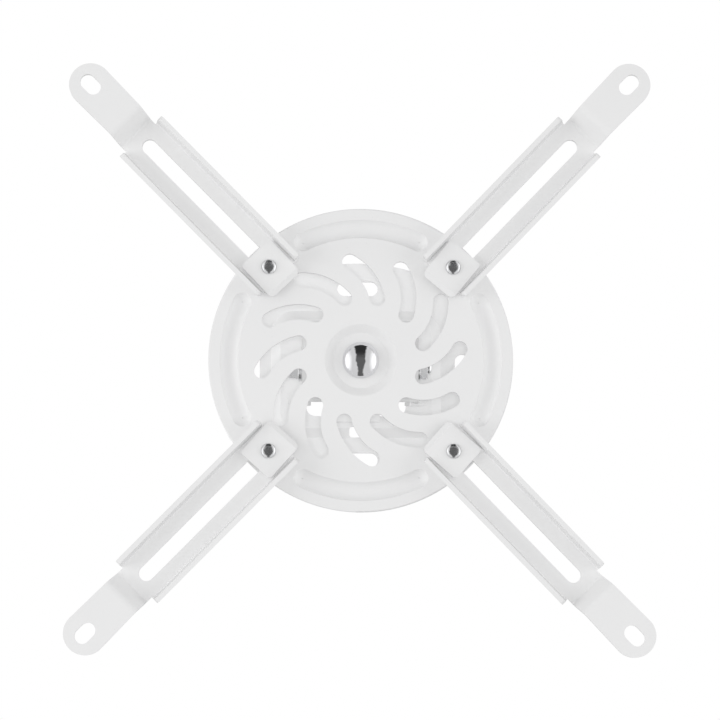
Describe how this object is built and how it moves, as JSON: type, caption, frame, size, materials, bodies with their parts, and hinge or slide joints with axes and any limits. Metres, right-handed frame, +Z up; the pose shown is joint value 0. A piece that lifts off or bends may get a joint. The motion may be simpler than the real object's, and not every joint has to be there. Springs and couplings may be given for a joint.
{
  "type": "projector ceiling mount",
  "caption": "Low ceiling mount for a projector: slotted ceiling plate, tilt yoke, turning round spider plate and sliding slotted arms with stepped end tabs.",
  "frame": {"origin": "middle of the ceiling plate's face that lies on the ceiling", "axes": "+Z up through the ceiling, X along the tilt axis, +Y towards the front of the mount"},
  "size_m": [0.239, 0.2433, 0.072],
  "materials": {
    "white_powder_coat": "satin white powder coat on pressed steel",
    "zinc_steel": "bright zinc plated steel fasteners",
    "polished_chrome": "polished chrome",
    "nylon": "natural nylon"
  },
  "bodies": {
    "ceiling_bracket": {"ceiling_plate": "white_powder_coat", "hanger_left": "white_powder_coat", "hanger_right": "white_powder_coat", "pivot_bolt": "zinc_steel", "pivot_washer_left": "zinc_steel", "pivot_washer_right": "zinc_steel", "pivot_nut": "zinc_steel"},
    "yoke": {"tilt_yoke": "white_powder_coat", "swivel_bolt": "polished_chrome", "swivel_liner": "nylon", "swivel_washer": "zinc_steel", "swivel_spring_washer": "zinc_steel", "swivel_lock_nut": "zinc_steel"},
    "spider": {"spider_plate": "white_powder_coat"},
    "clamp_1": {"clamp_plate_1": "white_powder_coat", "clamp_bolt_1": "zinc_steel"},
    "arm_1": {"arm_1": "white_powder_coat"},
    "clamp_2": {"clamp_plate_2": "white_powder_coat", "clamp_bolt_2": "zinc_steel"},
    "arm_2": {"arm_2": "white_powder_coat"},
    "clamp_3": {"clamp_plate_3": "white_powder_coat", "clamp_bolt_3": "zinc_steel"},
    "arm_3": {"arm_3": "white_powder_coat"},
    "clamp_4": {"clamp_plate_4": "white_powder_coat", "clamp_bolt_4": "zinc_steel"},
    "arm_4": {"arm_4": "white_powder_coat"}
  },
  "joints": [
    {"name": "tilt", "type": "hinge", "parent": "ceiling_bracket", "child": "yoke", "pos_m": [0, 0, -0.033], "axis": [1, 0, 0], "range_deg": [-15, 15]},
    {"name": "swivel", "type": "hinge", "parent": "yoke", "child": "spider", "pos_m": [0, 0, -0.06], "axis": [0, 0, 1], "continuous": true},
    {"name": "arm_1_swing", "type": "hinge", "parent": "spider", "child": "clamp_1", "pos_m": [-0.03775, -0.03775, -0.062], "axis": [0, 0, 1], "range_deg": [-12, 12]},
    {"name": "arm_1_reach", "type": "slide", "parent": "clamp_1", "child": "arm_1", "axis": [-0.7022, -0.712, 0], "range_m": [-0.029, 0]},
    {"name": "arm_2_swing", "type": "hinge", "parent": "spider", "child": "clamp_2", "pos_m": [0.03775, -0.03775, -0.062], "axis": [0, 0, 1], "range_deg": [-12, 12]},
    {"name": "arm_2_reach", "type": "slide", "parent": "clamp_2", "child": "arm_2", "axis": [0.6934, -0.7206, 0], "range_m": [-0.029, 0]},
    {"name": "arm_3_swing", "type": "hinge", "parent": "spider", "child": "clamp_3", "pos_m": [-0.03775, 0.03775, -0.062], "axis": [0, 0, 1], "range_deg": [-12, 12]},
    {"name": "arm_3_reach", "type": "slide", "parent": "clamp_3", "child": "arm_3", "axis": [-0.704, 0.7102, 0], "range_m": [-0.029, 0]},
    {"name": "arm_4_swing", "type": "hinge", "parent": "spider", "child": "clamp_4", "pos_m": [0.03775, 0.03775, -0.062], "axis": [0, 0, 1], "range_deg": [-12, 12]},
    {"name": "arm_4_reach", "type": "slide", "parent": "clamp_4", "child": "arm_4", "axis": [0.6947, 0.7193, 0], "range_m": [-0.029, 0]}
  ]
}
